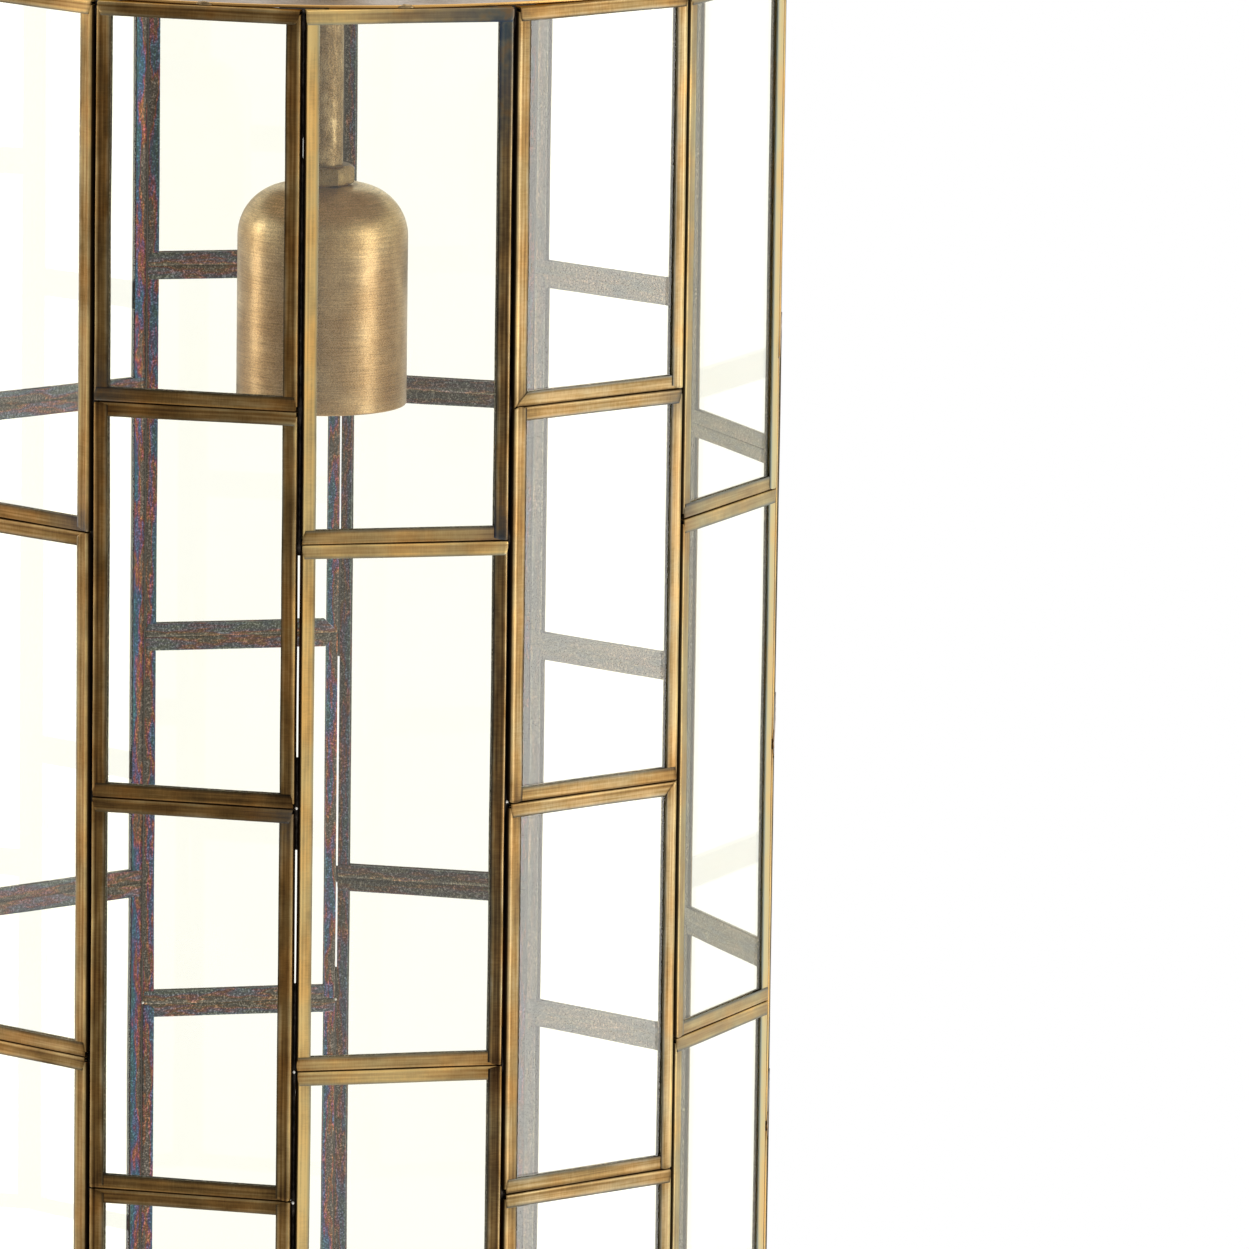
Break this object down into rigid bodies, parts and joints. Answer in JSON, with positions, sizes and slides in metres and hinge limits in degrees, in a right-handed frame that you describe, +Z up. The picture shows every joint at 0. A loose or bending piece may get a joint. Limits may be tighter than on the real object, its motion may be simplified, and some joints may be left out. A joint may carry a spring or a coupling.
{
  "type": "pendant lantern",
  "caption": "Tall many-sided pendant lantern of brass-framed clear glass panes under a round brass plate, with a brass lampholder cup on a central stem.",
  "frame": {"origin": "centre of the hole in the hanging eye", "axes": "+Z up along the stem; the pin of the fork and the hole of the eye lie along X; a seam between two columns lies at -Y"},
  "size_m": [0.2438, 0.2494, 0.4868],
  "materials": {
    "came_brass": "antique brass, brown patina with bright bends",
    "clear_glass": "clear float glass, very slightly warm",
    "dark_solder": "patinated solder, nearly black",
    "plate_brass": "satin antique brass",
    "fitting_brass": "satin antique brass",
    "stem_brass": "satin antique brass",
    "cup_brass": "fine brushed antique brass",
    "phenolic": "black phenolic moulding",
    "porcelain": "white glazed porcelain",
    "shell_brass": "bright rolled brass",
    "contact_bronze": "spring bronze",
    "steel": "zinc-plated steel",
    "nylon": "black nylon"
  },
  "bodies": {
    "hanger": {"hanging_eye": "fitting_brass"},
    "lantern": {"column_01_frames": "came_brass", "column_02_frames": "came_brass", "column_03_frames": "came_brass", "column_04_frames": "came_brass", "column_05_frames": "came_brass", "column_06_frames": "came_brass", "column_07_frames": "came_brass", "column_08_frames": "came_brass", "column_09_frames": "came_brass", "column_10_frames": "came_brass", "column_11_frames": "came_brass", "column_12_frames": "came_brass", "column_13_frames": "came_brass", "column_14_frames": "came_brass", "column_01_panes": "clear_glass", "column_02_panes": "clear_glass", "column_03_panes": "clear_glass", "column_04_panes": "clear_glass", "column_05_panes": "clear_glass", "column_06_panes": "clear_glass", "column_07_panes": "clear_glass", "column_08_panes": "clear_glass", "column_09_panes": "clear_glass", "column_10_panes": "clear_glass", "column_11_panes": "clear_glass", "column_12_panes": "clear_glass", "column_13_panes": "clear_glass", "column_14_panes": "clear_glass", "corner_solder": "dark_solder", "plate_tacks": "dark_solder", "top_plate": "plate_brass", "plate_washer_upper": "fitting_brass", "plate_washer_lower": "fitting_brass", "plate_nuts": "fitting_brass", "stem_tube": "stem_brass", "cup_nut": "fitting_brass", "cup": "cup_brass", "cup_washer": "fitting_brass", "holder_cap": "phenolic", "holder_housing": "phenolic", "holder_core": "porcelain", "screw_shell": "shell_brass", "side_contact": "contact_bronze", "terminal_screws": "steel", "holder_grub_screw": "steel", "fork_collar": "fitting_brass", "collar_grub_screw": "steel", "cable_bush": "nylon", "fork_pin": "fitting_brass"},
    "contact": {"centre_contact": "contact_bronze"}
  },
  "joints": [
    {"name": "hanger_swing", "type": "hinge", "parent": "hanger", "child": "lantern", "pos_m": [0, 0, -0.027], "axis": [1, 0, 0], "range_deg": [-80, 80]},
    {"name": "contact_travel", "type": "slide", "parent": "lantern", "child": "contact", "axis": [0, 0, 1], "range_m": [0, 0.0012], "stiffness_N_per_m": 1500, "springref_m": -0.0006}
  ]
}
